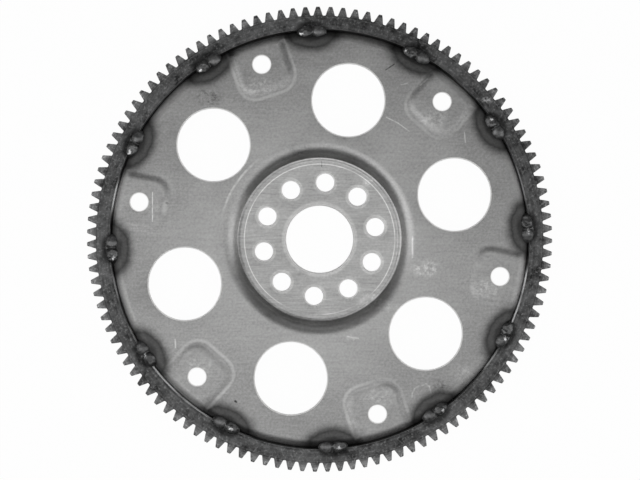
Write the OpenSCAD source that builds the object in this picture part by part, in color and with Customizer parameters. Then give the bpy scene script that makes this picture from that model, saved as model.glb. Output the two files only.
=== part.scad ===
// Flexplate: a pressed sheet-steel drive plate with a welded starter ring gear.
// The axis is +Z, the converter side is up, and Z = 0 is the rear face of the ring that the part lies on.
// One converter pad points along +X.

/* [Ring gear] */
// Teeth round the ring
tooth_count = 115; // [112:1:130]
// Pitch diameter for each tooth
tooth_module = 2.54; // [2.5:0.01:3]
// Pressure angle of the involute flanks
pressure_angle = 20; // [17:0.5:23]
// Tooth height above the pitch circle, in modules
addendum = 1; // [0.8:0.05:1.1]
// Tooth depth below the pitch circle, in modules
dedendum = 1.25; // [1.1:0.05:1.35]
// Radius at the foot of each flank
root_fillet = 0.7; // [0.3:0.05:0.8]
// Length of the ring along the axis
ring_width = 11; // [10:0.5:14]
// Steel between the tooth roots and the bore
ring_wall = 9.4; // [8:0.1:12]
// Chamfer at both ends of the bore
ring_bore_chamfer = 0.8; // [0.4:0.1:1.2]
// Bevel on the tooth tips where the starter pinion enters
entry_bevel = 2; // [1:0.1:3]
// Edge break on the tooth tips of the converter side
tip_break = 0.6; // [0.2:0.1:1.2]
// Turn of the ring on the plate, degrees
ring_turn = 1.38; // [0:0.01:3.2]

/* [Sheet plate] */
// Thickness of the sheet
sheet = 3; // [2.5:0.1:3.5]
// Inside radius of the rim bend
bend_inside = 3.4; // [3:0.1:4.8]
// How far the ring's front face lies below the plate's face
ring_below_plate = 1.5; // [0.5:0.1:2.5]
// How far the rim's free edge stays inside the ring's rear face
rim_short = 1; // [0.5:0.1:2.5]
// Lead-in on the rim's free edge
rim_lead_in = 0.8; // [0.4:0.1:1.2]

/* [Hub] */
// Diameter of the hub's flat floor, up to the corner round
hub_floor_diameter = 103.6; // [100:0.2:108]
// Depth of the hub floor below the plate's face
hub_depth = 6; // [5.4:0.1:7]
// Slope of the hub wall, degrees
hub_wall_angle = 52; // [48:1:56]
// Inside radius between hub floor and wall
hub_corner = 1.2; // [0.8:0.1:2]
// Outside radius where the hub wall turns into the plate's face
hub_bend = 10; // [8:0.1:11]
// Diameter of the faced seat on the hub floor
seat_diameter = 96.4; // [90:0.2:98]
// Depth of the faced seat
seat_depth = 0.2; // [0.1:0.05:0.4]
// Diameter of the pilot bore
pilot_bore = 43; // [40:0.1:46]
// Chamfer on the pilot bore
pilot_chamfer = 0.8; // [0.4:0.1:1.2]
// Bolts to the crankshaft
crank_bolts = 10; // [6:1:10]
// Bolt circle of the crankshaft bolts
crank_bolt_circle = 73; // [70:0.1:76]
// Diameter of the crankshaft bolt holes
crank_bolt_hole = 11.6; // [9:0.1:12.5]
// Countersunk edge of the crankshaft bolt holes
crank_hole_chamfer = 0.6; // [0.3:0.1:1]

/* [Converter pads] */
// Pads round the plate, with a lightening hole between each two
pad_count = 6; // [4:1:6]
// Bolt circle of the converter bolts
converter_bolt_circle = 235; // [232:0.2:236]
// Diameter of the converter bolt holes
converter_bolt_hole = 11.6; // [9:0.1:12.5]
// Width of a pad at its foot
pad_width = 38.6; // [34:0.2:41]
// Distance from the bolt hole to the pad's inner foot
pad_reach = 19.6; // [17:0.2:21]
// Corner radius of the pad's foot
pad_corner = 12; // [9:0.1:13]
// Height of a pad above the plate
pad_rise = 0.7; // [0.6:0.1:1.4]
// Width of the S-shaped slope round a pad
pad_slope = 6; // [4:0.1:6]

/* [Lightening holes] */
// Diameter of the lightening holes
lightening_hole = 46.4; // [40:0.2:48]
// Circle that the lightening holes are centred on
lightening_circle = 181.2; // [179:0.2:184]
// Rolled-over edge of the lightening holes
lightening_edge = 0.4; // [0.2:0.1:0.8]

/* [Welds] */
// Stitch welds round the rim
weld_count = 12; // [8:1:12]
// Length of a weld bead between its end rounds' centres
weld_length = 11; // [8:0.5:13]
// Radius of a bead at its two lobes
weld_radius = 5; // [4.6:0.1:5.4]
// How much thinner a bead is at its waist and ends
weld_waist = 0.7; // [0.2:0.1:1]
// Rounds that a bead is laid in
weld_rounds = 7; // [5:2:9]
// Depth of a bead's centre line below the plate's face
weld_sink = 3.5; // [3:0.1:3.8]
// Depth that the weld reaches into the groove
weld_root = 4; // [3.6:0.1:4.6]
// Distance of a bead's centre line inside the ring's bore
weld_inset = 0.9; // [0.8:0.1:1.8]

/* [Hidden] */
$fn = 96;
eps = 0.01;
arc_steps = 12;
slope_steps = 5;
flank_steps = 5;
// Angle that each weld was laid off its even place
weld_drift = [-1, -1.15, -0.95, -0.6, -0.7, 0.15, 0, 0.35, 0.45, -0.55, -0.25, -0.6];
pitch_r = tooth_count * tooth_module / 2;
base_r = pitch_r * cos(pressure_angle);
tip_r = pitch_r + addendum * tooth_module;
root_r = pitch_r - dedendum * tooth_module;
tooth_pitch = 360 / tooth_count;
rim_r = root_r - ring_wall;
bend_outside = bend_inside + sheet;
bend_r = rim_r - bend_outside;
plate_z = ring_width + ring_below_plate;
hub_z = plate_z - hub_depth;
hub_r = hub_floor_diameter / 2;
wall_drop = hub_depth - (hub_corner + hub_bend) * (1 - cos(hub_wall_angle));
hub_out_r = hub_r + (hub_corner + hub_bend) * sin(hub_wall_angle) + wall_drop / tan(hub_wall_angle);
pad_hole_r = converter_bolt_circle / 2;
pad_x = pad_hole_r - pad_reach;
pad_turn = 2 * atan(pad_rise / pad_slope);
pad_round = pad_slope / (2 * sin(pad_turn));
weld_r = rim_r - weld_inset;
weld_names = [for (i = [1 : weld_count]) str("weld_bead_", i < 10 ? "0" : "", i)];

// Points along an arc round (x, y), ends included
function arc(x, y, r, from, to, steps) =
    [for (i = [0 : steps]) let (a = from + (to - from) * i / steps) [x + r * cos(a), y + r * sin(a)]];

// Involute angle, in degrees, of the flank point at radius r
function involute(r) = let (a = acos(min(1, base_r / r))) tan(a) * 180 / PI - a;

// Half the angle that a tooth covers at radius r
function half_tooth(r) = tooth_pitch / 4 + involute(pitch_r) - involute(r);

// A point at radius r and angle a
function polar(r, a) = [r * cos(a), r * sin(a)];

// Radius where the flank leaves the root fillet
flank_r = root_r + root_fillet;
// Half the angle that the tooth covers at the root circle, fillet included
root_half = half_tooth(flank_r) + root_fillet * 180 / PI / root_r;

// The rising flank of the tooth at angle a, from the root circle to the tip
function rising_flank(a) = concat(
    [polar(root_r, a - root_half)],
    [polar(root_r + root_fillet * (1 - cos(45)),
        a - root_half + root_fillet * sin(45) * 180 / PI / root_r)],
    [for (i = [0 : flank_steps]) let (r = flank_r + (tip_r - flank_r) * i / flank_steps) polar(r, a - half_tooth(r))]
);

// The falling flank of the tooth at angle a, from the tip to the root circle
function falling_flank(a) = concat(
    [for (i = [flank_steps : -1 : 0]) let (r = flank_r + (tip_r - flank_r) * i / flank_steps) polar(r, a + half_tooth(r))],
    [polar(root_r + root_fillet * (1 - cos(45)),
        a + root_half - root_fillet * sin(45) * 180 / PI / root_r)],
    [polar(root_r, a + root_half)]
);

// Outline of the whole toothed rim
module tooth_outline() {
    polygon([
        for (i = [0 : tooth_count - 1])
            for (p = concat(rising_flank(i * tooth_pitch), falling_flank(i * tooth_pitch))) p
    ]);
}

// Turned section of the ring: bore, chamfered bore ends and bevelled tips
module ring_section() {
    clear = 1;
    polygon([
        [rim_r + ring_bore_chamfer, 0],
        [tip_r - entry_bevel, 0],
        [tip_r + clear, entry_bevel + clear],
        [tip_r + clear, ring_width - tip_break - clear],
        [tip_r - tip_break, ring_width],
        [rim_r + ring_bore_chamfer, ring_width],
        [rim_r, ring_width - ring_bore_chamfer],
        [rim_r, ring_bore_chamfer]
    ]);
}

// Upper surface of the rim bend, with the plate's face at height z
function rim_face(z) = arc(bend_r, z - bend_outside, bend_outside, 90, 0, arc_steps);

// Section of the pressed sheet from the pilot bore to the free edge of the rim
module sheet_section() {
    w = hub_wall_angle;
    polygon(concat(
        [[pilot_bore / 2, hub_z - seat_depth - pilot_chamfer]],
        [[pilot_bore / 2 + pilot_chamfer, hub_z - seat_depth]],
        [[seat_diameter / 2, hub_z - seat_depth]],
        [[seat_diameter / 2, hub_z]],
        arc(hub_r, hub_z + hub_corner, hub_corner, -90, w - 90, arc_steps),
        arc(hub_out_r, plate_z - hub_bend, hub_bend, 90 + w, 90, arc_steps),
        rim_face(plate_z),
        [[rim_r, rim_short + rim_lead_in]],
        [[rim_r - rim_lead_in, rim_short]],
        [[rim_r - sheet, rim_short]],
        arc(bend_r, plate_z - bend_outside, bend_inside, 0, 90, arc_steps),
        arc(hub_out_r, plate_z - hub_bend, hub_bend - sheet, 90, 90 + w, arc_steps),
        arc(hub_r, hub_z + hub_corner, hub_corner + sheet, w - 90, -90, arc_steps),
        [[pilot_bore / 2, hub_z - sheet]]
    ));
}

// A length to the nearest micrometre, so that faces of neighbouring pieces match
function micron(v) = round(v * 1000) / 1000;

// S-shaped slope of a pad's edge as [distance in from the foot, height above the plate]
function slope_points() = [
    for (p = concat(
        arc(0, pad_round, pad_round, -90, pad_turn - 90, slope_steps),
        [for (i = [slope_steps - 1 : -1 : 0]) let (a = pad_turn * i / slope_steps)
            [pad_slope - pad_round * sin(a), pad_rise - pad_round * (1 - cos(a))]]
    )) [micron(p[0]), micron(p[1])]
];

// A pad's raised block, open towards the rim, standing on a base inside the sheet
module pad_block() {
    base = -sheet / 3;
    edge = slope_points();
    side = pad_width / 2;
    run = rim_r + 2 - pad_x - pad_corner;
    // Length with both sloped sides
    translate([pad_x + pad_corner, 0, plate_z])
        rotate([90, 0, 90])
            linear_extrude(run)
                polygon(concat(
                    [[-side, base]],
                    [for (p = edge) [-side + p[0], p[1]]],
                    [for (i = [len(edge) - 1 : -1 : 0]) [side - edge[i][0], edge[i][1]]],
                    [[side, base]]
                ));
    // Sloped inner end
    translate([pad_x, side - pad_corner, plate_z])
        rotate([90, 0, 0])
            linear_extrude(pad_width - 2 * pad_corner)
                polygon(concat(
                    [[0, base]],
                    [for (p = edge) p],
                    [[pad_corner, pad_rise], [pad_corner, base]]
                ));
    // Two sloped corners
    for (s = [-1, 1])
        translate([pad_x + pad_corner, s * (side - pad_corner), plate_z])
            rotate([0, 0, s > 0 ? 90 : 180])
                rotate_extrude(angle = 90)
                    polygon(concat(
                        [[0, base], [pad_corner, base]],
                        [for (p = edge) [pad_corner - p[0], p[1]]],
                        [[0, pad_rise]]
                    ));
}

// What a pad adds on the converter side, ending in the raised rim bend
module pad_front() {
    intersection() {
        pad_block();
        rotate_extrude()
            polygon(concat(
                [[pad_x - 2, plate_z - sheet / 2], [pad_x - 2, plate_z + pad_rise]],
                rim_face(plate_z + pad_rise),
                arc(bend_r, plate_z - bend_outside, bend_outside - sheet / 2, 0, 90, arc_steps)
            ));
    }
}

// What the pressing of a pad takes out of the crankshaft side
module pad_back() {
    inset = pad_slope / 2;
    side = pad_width / 2 - inset;
    corner = pad_corner - inset;
    intersection() {
        translate([0, 0, plate_z - bend_outside - 1])
            linear_extrude(bend_outside + 2)
                union() {
                    translate([pad_x + inset + corner, -side])
                        square([rim_r - pad_x, 2 * side]);
                    translate([pad_x + inset, corner - side])
                        square([corner + eps, 2 * (side - corner)]);
                    for (s = [-1, 1])
                        translate([pad_x + inset + corner, s * (side - corner)])
                            circle(corner);
                }
        rotate_extrude()
            polygon(concat(
                [[pad_x, plate_z - bend_outside - 0.5], [pad_x, plate_z - sheet + pad_rise]],
                arc(bend_r, plate_z - bend_outside + pad_rise, bend_inside, 90, 0, arc_steps),
                [[rim_r - sheet, plate_z - bend_outside - 0.5]]
            ));
    }
}

// A bolt hole from below the sheet at z to above it, with its edge broken at the top
module edged_hole(d, top, edge) {
    translate([0, 0, top - 2 * sheet])
        cylinder(d = d, h = 4 * sheet);
    translate([0, 0, top - edge])
        cylinder(d1 = d, d2 = d + 4 * edge, h = 2 * edge);
}

// Every hole in the plate
module plate_holes() {
    for (i = [0 : crank_bolts - 1])
        rotate([0, 0, i * 360 / crank_bolts])
            translate([crank_bolt_circle / 2, 0, 0])
                edged_hole(crank_bolt_hole, hub_z - seat_depth, crank_hole_chamfer);
    for (i = [0 : pad_count - 1])
        rotate([0, 0, i * 360 / pad_count]) {
            translate([pad_hole_r, 0, plate_z - 2 * sheet])
                cylinder(d = converter_bolt_hole, h = 4 * sheet);
            rotate([0, 0, 180 / pad_count])
                translate([lightening_circle / 2, 0, 0])
                    edged_hole(lightening_hole, plate_z, lightening_edge);
        }
}

// Pressed disc: hub, wall, face, raised pads, turned-down rim and holes
module drive_plate() {
    color([0.62, 0.62, 0.61])
        difference() {
            union() {
                rotate_extrude()
                    sheet_section();
                for (i = [0 : pad_count - 1])
                    rotate([0, 0, i * 360 / pad_count])
                        pad_front();
            }
            for (i = [0 : pad_count - 1])
                rotate([0, 0, i * 360 / pad_count])
                    pad_back();
            plate_holes();
        }
}

// Starter ring: involute teeth with bevelled tips on a plain bore
module ring_gear() {
    color([0.25, 0.25, 0.26])
        rotate([0, 0, ring_turn])
            intersection() {
                linear_extrude(ring_width)
                    tooth_outline();
                rotate_extrude()
                    ring_section();
            }
}

// Everything below the plate's face and the pads, as the welds find it
module plate_below() {
    rotate_extrude()
        polygon(concat(
            [[hub_out_r, 0], [hub_out_r, plate_z]],
            rim_face(plate_z),
            [[rim_r, 0]]
        ));
    for (i = [0 : pad_count - 1])
        rotate([0, 0, i * 360 / pad_count])
            pad_front();
}

// Everything that the ring fills, as the welds find it
module ring_below() {
    rotate_extrude()
        polygon([
            [rim_r, 0],
            [rim_r, ring_width - ring_bore_chamfer],
            [rim_r + ring_bore_chamfer, ring_width],
            [root_r, ring_width],
            [root_r, 0]
        ]);
}

// One stitch weld: rounds laid along the groove, thinner at the waist and at both ends
module weld_bead(i) {
    spread = weld_length * 180 / PI / weld_r;
    place = (i + 0.5) * 360 / weld_count + weld_drift[i % len(weld_drift)];
    color([0.2, 0.2, 0.21])
        difference() {
            for (k = [0 : weld_rounds - 1]) {
                t = 2 * k / (weld_rounds - 1) - 1;
                rotate([0, 0, place + t * spread / 2])
                    translate([weld_r, 0, plate_z - weld_sink])
                        sphere(weld_radius - weld_waist * (1 - abs(sin(180 * t))));
            }
            plate_below();
            ring_below();
            cylinder(r = root_r, h = plate_z - weld_root);
        }
}

drive_plate();
ring_gear();
for (i = [0 : weld_count - 1]) weld_bead(i);
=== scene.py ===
"""Looks of a flexplate: pressed plate, starter ring gear and stitch welds on a pale studio floor."""

import logging
import math
from dataclasses import dataclass
from enum import Enum, auto

import bmesh
import bpy
from mathutils import Matrix, Vector, noise


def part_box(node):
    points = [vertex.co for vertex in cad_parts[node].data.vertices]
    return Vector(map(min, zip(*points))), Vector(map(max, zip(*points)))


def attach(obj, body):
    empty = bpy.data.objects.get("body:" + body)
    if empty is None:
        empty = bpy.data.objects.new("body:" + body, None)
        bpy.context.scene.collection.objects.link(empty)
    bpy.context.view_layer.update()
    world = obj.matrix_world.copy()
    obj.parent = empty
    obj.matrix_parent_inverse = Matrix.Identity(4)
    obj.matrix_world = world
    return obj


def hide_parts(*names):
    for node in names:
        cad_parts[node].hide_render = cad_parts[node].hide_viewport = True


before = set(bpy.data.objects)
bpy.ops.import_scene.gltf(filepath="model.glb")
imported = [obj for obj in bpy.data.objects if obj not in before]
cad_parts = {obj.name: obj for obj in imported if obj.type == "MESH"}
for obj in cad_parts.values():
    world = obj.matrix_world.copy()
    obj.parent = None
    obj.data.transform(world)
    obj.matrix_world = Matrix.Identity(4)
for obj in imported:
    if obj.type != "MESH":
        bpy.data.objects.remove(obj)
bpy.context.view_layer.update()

log = logging.getLogger("flexplate")

Tree = bpy.types.NodeTree
Socket = bpy.types.NodeSocket
Sockets = dict[str, Socket]
Given = bpy.types.NodeOutputs
Material = bpy.types.Material
Pair = tuple[float, float]
Triple = tuple[float, float, float]
# A smooth change: where it starts and ends, then its value at the start and at the end
Change = tuple[float, float, float, float]

MM = 0.001
# Turn of the photograph's horizontal axis in the row frame, degrees
PHOTO_TURN = -48.33
# Real size of one pixel of the photograph at the ring's front face
PIXEL = 0.63855 * MM
PHOTO_WIDTH = 640
# Pixel of the photograph that shows the plate's axis
PHOTO_CENTRE = (319.4, 238.9)
# Factors that drop a vector's part along the axis
FLAT = (1.0, 1.0, 0.0)
NOISE_MIDDLE = 0.5


class Slot(Enum):
    """Material slots of the record."""

    PRESSED_STEEL = "pressed_steel"
    RING_STEEL = "ring_steel"
    WELD_STEEL = "weld_steel"


class Effect(Enum):
    """Shared node groups, by their names."""

    GRAIN = "rolled_grain"
    LINE = "line_mark"
    CIRCLE = "circle_mark"
    SPOT = "spot_mark"
    PAD = "pad_outline"
    FOLD = "polar_fold"
    HEAT = "weld_heat"
    LOBE = "weld_lobe"
    GLINT = "weld_glint"


class WearAndLight(Enum):
    """What breaks up a ring round the axis: random arcs and breaks, and the stretches where it is a painted
    highlight and where it is painted shade.
    """

    SEATED = auto()
    BEND_HIGHLIGHT = auto()
    FILLET_HIGHLIGHT = auto()
    FILLET_SHADE = auto()
    BROKEN = auto()


def photo_axes(x: float, y: float, z: float) -> Vector:
    """Turns a point given along the photograph's right, up and towards the viewer into the row frame.

    Args:
        x: Metres to the right.
        y: Metres upwards in the picture.
        z: Metres towards the viewer.

    Returns:
        The point in the row frame.
    """
    return Matrix.Rotation(math.radians(PHOTO_TURN), 3, "Z") @ Vector((x, y, z))


def photo_point(px: float, py: float) -> Vector:
    """Gives the place on the part, at height 0, that a pixel of the photograph shows.

    Args:
        px: Pixel column.
        py: Pixel row, counted downwards.

    Returns:
        The point in the row frame.
    """
    return photo_axes((px - PHOTO_CENTRE[0]) * PIXEL, (PHOTO_CENTRE[1] - py) * PIXEL, 0.0)


@dataclass(frozen=True)
class Mottle:
    """A blotchy mask: features to a metre, finer layers, noise levels where it starts and is full, least value."""

    scale: float
    detail: float
    start: float
    full: float
    least: float = 0.0
    roughness: float = 0.55


class NodeSheet:
    """Places nodes in one tree and links them."""

    def __init__(self, tree: Tree) -> None:
        """Keeps the tree that the nodes go into."""
        self.tree = tree

    def add(self, kind: str, **settings: object) -> bpy.types.Node:
        """Adds a node.

        Args:
            kind: Blender's node type.
            settings: Properties to set on the node.

        Returns:
            The node.
        """
        node = self.tree.nodes.new(kind)
        for name, value in settings.items():
            setattr(node, name, value)
        return node

    def feed(self, socket: Socket, value: object) -> None:
        """Links a socket to an input, or sets the input's own value.

        Args:
            socket: The input.
            value: A socket, a number or a vector.
        """
        if isinstance(value, Socket):
            self.tree.links.new(value, socket)
        else:
            socket.default_value = value

    def math(self, operation: str, *values: object) -> Socket:
        """Adds a Math node.

        Args:
            operation: Blender's name of the operation.
            values: Numbers or sockets, in order.

        Returns:
            The result's socket.
        """
        node = self.add("ShaderNodeMath", operation=operation)
        for socket, value in zip(node.inputs, values):
            self.feed(socket, value)
        return node.outputs[0]

    def product(self, *values: object) -> Socket:
        """Multiplies numbers.

        Args:
            values: Numbers or sockets.

        Returns:
            The product's socket.
        """
        result = values[0]
        for value in values[1:]:
            result = self.math("MULTIPLY", result, value)
        return result

    def lay(self, total: object, gain: object, *masks: object) -> Socket:
        """Adds the product of some masks, times a gain, to a total."""
        return self.math("MULTIPLY_ADD", self.product(*masks), gain, total)

    def vector(self, operation: str, *values: object, scale: object = None) -> Socket:
        """Adds a Vector Math node.

        Args:
            operation: Blender's name of the operation.
            values: Vectors or sockets, in order.
            scale: Factor of a SCALE operation.

        Returns:
            The vector result, or the number for DOT_PRODUCT and LENGTH.
        """
        node = self.add("ShaderNodeVectorMath", operation=operation)
        for socket, value in zip(node.inputs, values):
            self.feed(socket, value)
        if scale is not None:
            self.feed(node.inputs["Scale"], scale)
        return node.outputs["Value" if operation in ("DOT_PRODUCT", "LENGTH") else "Vector"]

    def flat(self, vector: object) -> Socket:
        """Drops a vector's part along the axis."""
        return self.vector("MULTIPLY", vector, FLAT)

    def length(self, vector: object) -> Socket:
        """Gives a vector's length as seen along the axis."""
        return self.vector("LENGTH", self.flat(vector))

    def noise(self, vector: object, scale: float, detail: float = 3.0, roughness: float = 0.55) -> Socket:
        """Adds a noise.

        Args:
            vector: Coordinates.
            scale: Features to a metre.
            detail: Number of finer layers.
            roughness: Weight of the finer layers.

        Returns:
            The noise's value.
        """
        node = self.add("ShaderNodeTexNoise")
        for name, value in (("Vector", vector), ("Scale", scale), ("Detail", detail), ("Roughness", roughness)):
            self.feed(node.inputs[name], value)
        return node.outputs["Fac"]

    def centred(self, value: Socket) -> Socket:
        """Shifts a noise so that it varies about 0."""
        return self.math("SUBTRACT", value, NOISE_MIDDLE)

    def stretched(self, vector: object, turn: float, factors: Triple) -> Socket:
        """Turns coordinates about the axis, then stretches them.

        Args:
            vector: Coordinates.
            turn: Degrees.
            factors: Stretch along each axis.

        Returns:
            The new coordinates.
        """
        node = self.add("ShaderNodeMapping", vector_type="POINT")
        self.feed(node.inputs["Vector"], vector)
        node.inputs["Rotation"].default_value = (0.0, 0.0, math.radians(turn))
        return self.vector("MULTIPLY", node.outputs["Vector"], factors)

    def rolled(self, vector: object, factors: Triple) -> Socket:
        """Stretches coordinates along and across the rolling direction of the sheet."""
        return self.stretched(vector, -PHOTO_TURN, factors)

    def fade(self, value: object, start: object, end: object, first: float = 1.0, last: float = 0.0) -> Socket:
        """Maps a value smoothly from one range to another.

        Args:
            value: The value to map.
            start: Where the change starts.
            end: Where it ends.
            first: Result at the start.
            last: Result at the end.

        Returns:
            The mapped value's socket.
        """
        node = self.add("ShaderNodeMapRange", interpolation_type="SMOOTHSTEP")
        names = ("Value", "From Min", "From Max", "To Min", "To Max")
        for name, number in zip(names, (value, start, end, first, last)):
            self.feed(node.inputs[name], number)
        return node.outputs["Result"]

    def within(self, distance: Socket, reach: Socket, core: float) -> Socket:
        """Masks what lies within a reach, in full within that share of it."""
        return self.fade(distance, self.math("MULTIPLY", reach, core), reach)

    def blend(self, factor: object, first: object, second: object) -> Socket:
        """Mixes two numbers.

        Args:
            factor: Share of the second.
            first: The first number.
            second: The second number.

        Returns:
            The mixed number's socket.
        """
        node = self.add("ShaderNodeMix", data_type="FLOAT")
        for name, value in (("Factor", factor), ("A", first), ("B", second)):
            self.feed(next(s for s in node.inputs if s.name == name and s.enabled), value)
        return node.outputs["Result"]


@dataclass(frozen=True)
class SocketSpec:
    """One socket of a node group: its name, kind and side."""

    name: str
    kind: str = "NodeSocketFloat"
    is_output: bool = False


class EffectGroup:
    """A shader node group that several finishes share."""

    effect: Effect
    sockets: tuple[SocketSpec, ...] = ()

    def build(self) -> Tree:
        """Makes the group's tree with its sockets and fills it.

        Returns:
            The finished tree.
        """
        tree = bpy.data.node_groups.new(self.effect.value, "ShaderNodeTree")
        for spec in self.sockets:
            side = "OUTPUT" if spec.is_output else "INPUT"
            tree.interface.new_socket(name=spec.name, in_out=side, socket_type=spec.kind)
        sheet = NodeSheet(tree)
        inputs = sheet.add("NodeGroupInput")
        outputs = sheet.add("NodeGroupOutput")
        for name, socket in self.fill(sheet, inputs.outputs).items():
            tree.links.new(socket, outputs.inputs[name])
        return tree

    def fill(self, sheet: NodeSheet, given: Given) -> Sockets:
        """Adds the group's nodes.

        Args:
            sheet: The group's node sheet.
            given: The group's inputs.

        Returns:
            The socket for each output.
        """
        raise NotImplementedError


VECTOR_IN = SocketSpec("Vector", "NodeSocketVector")
CENTRE_IN = SocketSpec("Centre", "NodeSocketVector")
MASK_OUT = SocketSpec("Mask", is_output=True)
DISTANCE_OUT = SocketSpec("Distance", is_output=True)
# Share of a thin line's half width in which its mask is full
LINE_CORE = 0.2


class RolledGrain(EffectGroup):
    """Streaks along the rolling direction of the sheet, clouds and fine speckle, each about 0."""

    effect = Effect.GRAIN
    sockets = (VECTOR_IN, *(SocketSpec(name, is_output=True) for name in ("Streak", "Cloud", "Speckle")))
    # Features to a metre, along and across the rolling direction
    long_streak = (60.0, 700.0, 60.0)
    short_streak = (130.0, 1300.0, 130.0)
    cloud = (26.0, 48.0, 26.0)
    speckle = 640.0

    def fill(self, sheet: NodeSheet, given: Given) -> Sockets:
        """Adds two layers of streaks, the clouds and the speckle.

        Args:
            sheet: The group's node sheet.
            given: The group's inputs.

        Returns:
            The three values.
        """
        point = given["Vector"]
        long_streak = sheet.noise(sheet.rolled(point, self.long_streak), 1.0, detail=4.0, roughness=0.6)
        short_streak = sheet.noise(sheet.rolled(point, self.short_streak), 1.0, detail=3.0, roughness=0.6)
        layers = {
            "Streak": sheet.blend(0.5, long_streak, short_streak),
            "Cloud": sheet.noise(sheet.rolled(point, self.cloud), 1.0, detail=5.0, roughness=0.62),
            "Speckle": sheet.noise(point, self.speckle, detail=3.0, roughness=0.65),
        }
        return {name: sheet.centred(value) for name, value in layers.items()}


class LineMark(EffectGroup):
    """Mask of one straight scratch."""

    effect = Effect.LINE
    sockets = (VECTOR_IN, SocketSpec("Start", "NodeSocketVector"), SocketSpec("Along", "NodeSocketVector"),
               SocketSpec("Length"), SocketSpec("Width"), MASK_OUT)

    def fill(self, sheet: NodeSheet, given: Given) -> Sockets:
        """Measures the distance to the scratch, seen along the axis.

        Args:
            sheet: The group's node sheet.
            given: The group's inputs.

        Returns:
            The mask.
        """
        away = sheet.vector("SUBTRACT", sheet.flat(given["Vector"]), given["Start"])
        along = sheet.vector("DOT_PRODUCT", away, given["Along"])
        held = sheet.math("MINIMUM", sheet.math("MAXIMUM", along, 0.0), given["Length"])
        foot = sheet.vector("SCALE", given["Along"], scale=held)
        distance = sheet.vector("LENGTH", sheet.vector("SUBTRACT", away, foot))
        return {"Mask": sheet.within(distance, given["Width"], LINE_CORE)}


class CircleMark(EffectGroup):
    """Mask of a thin circle round a point, seen along the axis."""

    effect = Effect.CIRCLE
    sockets = (VECTOR_IN, CENTRE_IN, SocketSpec("Radius"), SocketSpec("Width"), MASK_OUT)

    def fill(self, sheet: NodeSheet, given: Given) -> Sockets:
        """Measures the distance to the circle.

        Args:
            sheet: The group's node sheet.
            given: The group's inputs.

        Returns:
            The mask.
        """
        away = sheet.length(sheet.vector("SUBTRACT", given["Vector"], given["Centre"]))
        off = sheet.math("ABSOLUTE", sheet.math("SUBTRACT", away, given["Radius"]))
        return {"Mask": sheet.within(off, given["Width"], LINE_CORE)}


class SpotMark(EffectGroup):
    """Soft round mask at a point, squashed across the rolling direction."""

    effect = Effect.SPOT
    sockets = (VECTOR_IN, CENTRE_IN, SocketSpec("Reach"), MASK_OUT)
    squash = 1.5
    core = 0.25

    def fill(self, sheet: NodeSheet, given: Given) -> Sockets:
        """Measures the squashed distance to the point.

        Args:
            sheet: The group's node sheet.
            given: The group's inputs.

        Returns:
            The mask.
        """
        away = sheet.vector("SUBTRACT", given["Vector"], given["Centre"])
        distance = sheet.vector("LENGTH", sheet.rolled(away, (1.0, self.squash, 0.0)))
        return {"Mask": sheet.within(distance, given["Reach"], self.core)}


class PadOutline(EffectGroup):
    """Distance to the outline of the pad that lies on +X, below 0 inside it."""

    effect = Effect.PAD
    sockets = (VECTOR_IN, DISTANCE_OUT)
    centre = (127.9 * MM, 0.0, 0.0)
    half_size = (31.6 * MM, 19.3 * MM)
    corner = 12.0 * MM

    def fill(self, sheet: NodeSheet, given: Given) -> Sockets:
        """Measures the distance to a rectangle with round corners that runs out past the rim.

        Args:
            sheet: The group's node sheet.
            given: The group's inputs.

        Returns:
            The distance.
        """
        away = sheet.vector("ABSOLUTE", sheet.vector("SUBTRACT", given["Vector"], self.centre))
        reach = tuple(half - self.corner for half in self.half_size) + (0.0,)
        past = sheet.vector("SUBTRACT", sheet.flat(away), reach)
        outside = sheet.vector("LENGTH", sheet.vector("MAXIMUM", past, (0.0, 0.0, 0.0)))
        split = sheet.add("ShaderNodeSeparateXYZ")
        sheet.feed(split.inputs[0], past)
        inside = sheet.math("MINIMUM", sheet.math("MAXIMUM", split.outputs["X"], split.outputs["Y"]), 0.0)
        return {"Distance": sheet.math("SUBTRACT", sheet.math("ADD", outside, inside), self.corner)}


class PolarFold(EffectGroup):
    """Turns every repeat round the axis onto the one that lies on +X."""

    effect = Effect.FOLD
    sockets = (VECTOR_IN, SocketSpec("Step"), SocketSpec("Folded", "NodeSocketVector", True))

    def fill(self, sheet: NodeSheet, given: Given) -> Sockets:
        """Takes the angle modulo the step and rebuilds the point.

        Args:
            sheet: The group's node sheet.
            given: The group's inputs.

        Returns:
            The folded point.
        """
        split = sheet.add("ShaderNodeSeparateXYZ")
        sheet.feed(split.inputs[0], given["Vector"])
        angle = sheet.math("ARCTAN2", split.outputs["Y"], split.outputs["X"])
        turns = sheet.math("ROUND", sheet.math("DIVIDE", angle, given["Step"]))
        rest = sheet.math("SUBTRACT", angle, sheet.math("MULTIPLY", turns, given["Step"]))
        radius = sheet.length(given["Vector"])
        join = sheet.add("ShaderNodeCombineXYZ")
        sheet.feed(join.inputs["X"], sheet.product(radius, sheet.math("COSINE", rest)))
        sheet.feed(join.inputs["Y"], sheet.product(radius, sheet.math("SINE", rest)))
        sheet.feed(join.inputs["Z"], split.outputs["Z"])
        return {"Folded": join.outputs[0]}


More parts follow.
